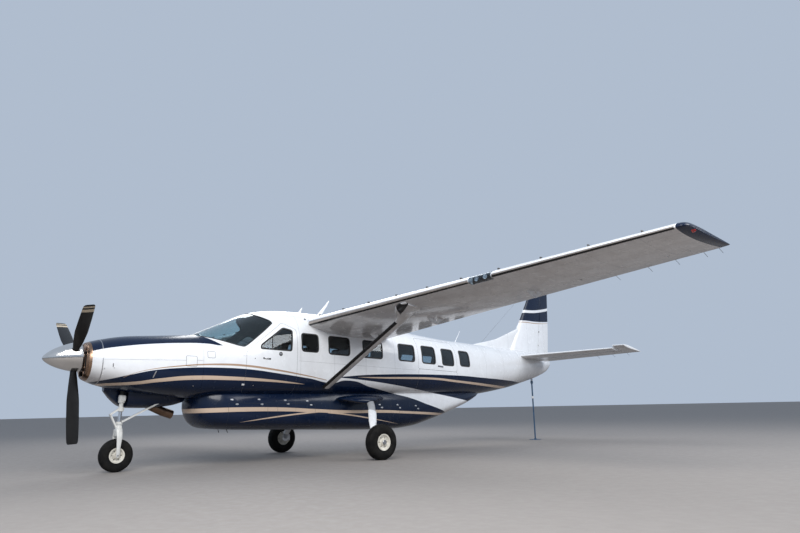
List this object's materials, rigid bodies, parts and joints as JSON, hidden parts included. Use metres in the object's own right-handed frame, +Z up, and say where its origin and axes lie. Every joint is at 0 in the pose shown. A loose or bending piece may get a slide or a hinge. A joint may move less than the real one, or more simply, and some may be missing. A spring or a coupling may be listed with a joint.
{
  "type": "single-engine turboprop utility plane",
  "caption": "High-wing turboprop utility plane with a strut under each wing, a belly cargo pod, fixed three-wheel gear, cabin doors that open and a stand under its tail.",
  "frame": {"origin": "on the ground, under the middle of the plane's length and of its span", "axes": "+X towards the left wing tip, +Y towards the tail, +Z up"},
  "size_m": [15.88, 12.85, 4.65],
  "materials": {
    "white_paint": "gloss white aircraft paint",
    "navy_paint": "gloss navy paint",
    "polished_metal": "polished spun metal",
    "glass": "clear acrylic, lightly tinted",
    "steel": "bare steel",
    "exhaust": "heat-stained steel",
    "carpet": "short-pile carpet",
    "black_trim": "matte black trim",
    "leather": "tan-grey leather",
    "blue_paint": "blue paint, worn",
    "blade_black": "matte black with pale tips",
    "tyre": "black rubber"
  },
  "bodies": {
    "airframe": {"engine": "steel", "nose_ring": "white_paint", "upper_cowl": "white_paint", "lower_cowl": "navy_paint", "exhaust_stack": "exhaust", "cabin_shell": "white_paint", "windshield": "glass", "cabin_glass_left": "glass", "cabin_glass_right": "glass", "rear_glass_left": "glass", "rear_glass_right": "glass", "cabin_floor": "carpet", "instrument_panel": "black_trim", "seats_left": "leather", "seats_right": "leather", "wing_left": "white_paint", "wing_right": "white_paint", "wing_strut_left": "white_paint", "wing_strut_right": "white_paint", "fin": "white_paint", "tail_plane": "white_paint", "tail_cone": "white_paint", "main_leg_left": "white_paint", "main_leg_right": "white_paint", "cargo_pod": "navy_paint", "nose_strut": "white_paint", "nose_drag_link": "white_paint", "tail_stand": "blue_paint"},
    "propeller": {"spinner": "polished_metal", "propeller_blade_1": "blade_black", "propeller_blade_2": "blade_black", "propeller_blade_3": "blade_black"},
    "nose_fork": {"nose_fork": "white_paint"},
    "nose_wheel": {"nose_wheel": "white_paint", "nose_tyre": "tyre"},
    "main_wheel_left": {"main_wheel_left": "white_paint", "main_tyre_left": "tyre"},
    "main_wheel_right": {"main_wheel_right": "white_paint", "main_tyre_right": "tyre"},
    "aileron_left": {"aileron_left": "white_paint"},
    "aileron_right": {"aileron_right": "white_paint"},
    "flap_left": {"flap_left": "white_paint"},
    "flap_right": {"flap_right": "white_paint"},
    "elevator": {"elevator_left": "white_paint", "elevator_right": "white_paint"},
    "rudder": {"rudder": "white_paint"},
    "crew_door_left": {"crew_door_left": "white_paint", "crew_door_glass_left": "glass"},
    "crew_door_right": {"crew_door_right": "white_paint", "crew_door_glass_right": "glass"},
    "cargo_door_upper": {"cargo_door_upper": "white_paint", "cargo_door_glass": "glass"},
    "cargo_door_lower": {"cargo_door_lower": "white_paint"},
    "passenger_door_upper": {"passenger_door_upper": "white_paint", "passenger_door_glass": "glass"},
    "passenger_door_lower": {"passenger_door_lower": "white_paint"}
  },
  "joints": [
    {"name": "propeller_spin", "type": "hinge", "parent": "airframe", "child": "propeller", "pos_m": [0, -5.98471, 1.811], "axis": [-0.0583, -0.9961, -0.0658], "continuous": true},
    {"name": "nose_steering", "type": "hinge", "parent": "airframe", "child": "nose_fork", "pos_m": [0, -5.23471, 0.26], "axis": [0, 0.039, 0.9992], "range_deg": [-51, 51]},
    {"name": "nose_wheel_spin", "type": "hinge", "parent": "nose_fork", "child": "nose_wheel", "pos_m": [0, -5.23471, 0.26], "axis": [1, 0, 0], "continuous": true},
    {"name": "main_wheel_left_spin", "type": "hinge", "parent": "airframe", "child": "main_wheel_left", "pos_m": [1.78, -1.18471, 0.312], "axis": [1, 0, 0], "continuous": true},
    {"name": "main_wheel_right_spin", "type": "hinge", "parent": "airframe", "child": "main_wheel_right", "pos_m": [-1.78, -1.18471, 0.312], "axis": [1, 0, 0], "continuous": true},
    {"name": "aileron_left_hinge", "type": "hinge", "parent": "airframe", "child": "aileron_left", "pos_m": [5.652, -0.75135, 2.68416], "axis": [0.9982, -0.0184, 0.0576], "range_deg": [-16, 25]},
    {"name": "aileron_right_hinge", "type": "hinge", "parent": "airframe", "child": "aileron_right", "pos_m": [-5.652, -0.75135, 2.68416], "axis": [0.9982, 0.0184, -0.0576], "range_deg": [-16, 25]},
    {"name": "flap_left_hinge", "type": "hinge", "parent": "airframe", "child": "flap_left", "pos_m": [0.83, -0.74033, 2.22911], "axis": [0.9977, -0.0137, 0.067], "range_deg": [-30, 0]},
    {"name": "flap_right_hinge", "type": "hinge", "parent": "airframe", "child": "flap_right", "pos_m": [-0.83, -0.74033, 2.22911], "axis": [0.9977, 0.0137, -0.067], "range_deg": [-30, 0]},
    {"name": "elevator_hinge", "type": "hinge", "parent": "airframe", "child": "elevator", "pos_m": [0, 5.39029, 2.13397], "axis": [1, 0, 0], "range_deg": [-12, 33]},
    {"name": "rudder_hinge", "type": "hinge", "parent": "airframe", "child": "rudder", "pos_m": [0, 5.72029, 2.212], "axis": [0, 0.1951, 0.9808], "range_deg": [-25, 25]},
    {"name": "crew_door_left_hinge", "type": "hinge", "parent": "airframe", "child": "crew_door_left", "pos_m": [0.824, -3.39471, 1.6], "axis": [0, 0.039, 0.9992], "range_deg": [-85, 0]},
    {"name": "crew_door_right_hinge", "type": "hinge", "parent": "airframe", "child": "crew_door_right", "pos_m": [-0.824, -3.39471, 1.6], "axis": [0, 0.039, 0.9992], "range_deg": [0, 85]},
    {"name": "cargo_door_upper_hinge", "type": "hinge", "parent": "airframe", "child": "cargo_door_upper", "pos_m": [0.617, 1.27229, 2.386], "axis": [-0.0896, 0.9952, -0.0388], "range_deg": [-95, 0]},
    {"name": "cargo_door_lower_hinge", "type": "hinge", "parent": "airframe", "child": "cargo_door_lower", "pos_m": [0.812, 0.64729, 1.49], "axis": [0, 0.039, 0.9992], "range_deg": [-165, 0]},
    {"name": "passenger_door_upper_hinge", "type": "hinge", "parent": "airframe", "child": "passenger_door_upper", "pos_m": [-0.578, 1.60929, 2.364], "axis": [0.0896, 0.9952, -0.0388], "range_deg": [0, 95]},
    {"name": "passenger_door_lower_hinge", "type": "hinge", "parent": "airframe", "child": "passenger_door_lower", "pos_m": [-0.652, 1.59429, 1.276], "axis": [0.0896, 0.9952, -0.0388], "range_deg": [-130, 0]}
  ],
  "couplings": [
    {"joint": "flap_right_hinge", "follows": "flap_left_hinge", "ratio": 1}
  ]
}
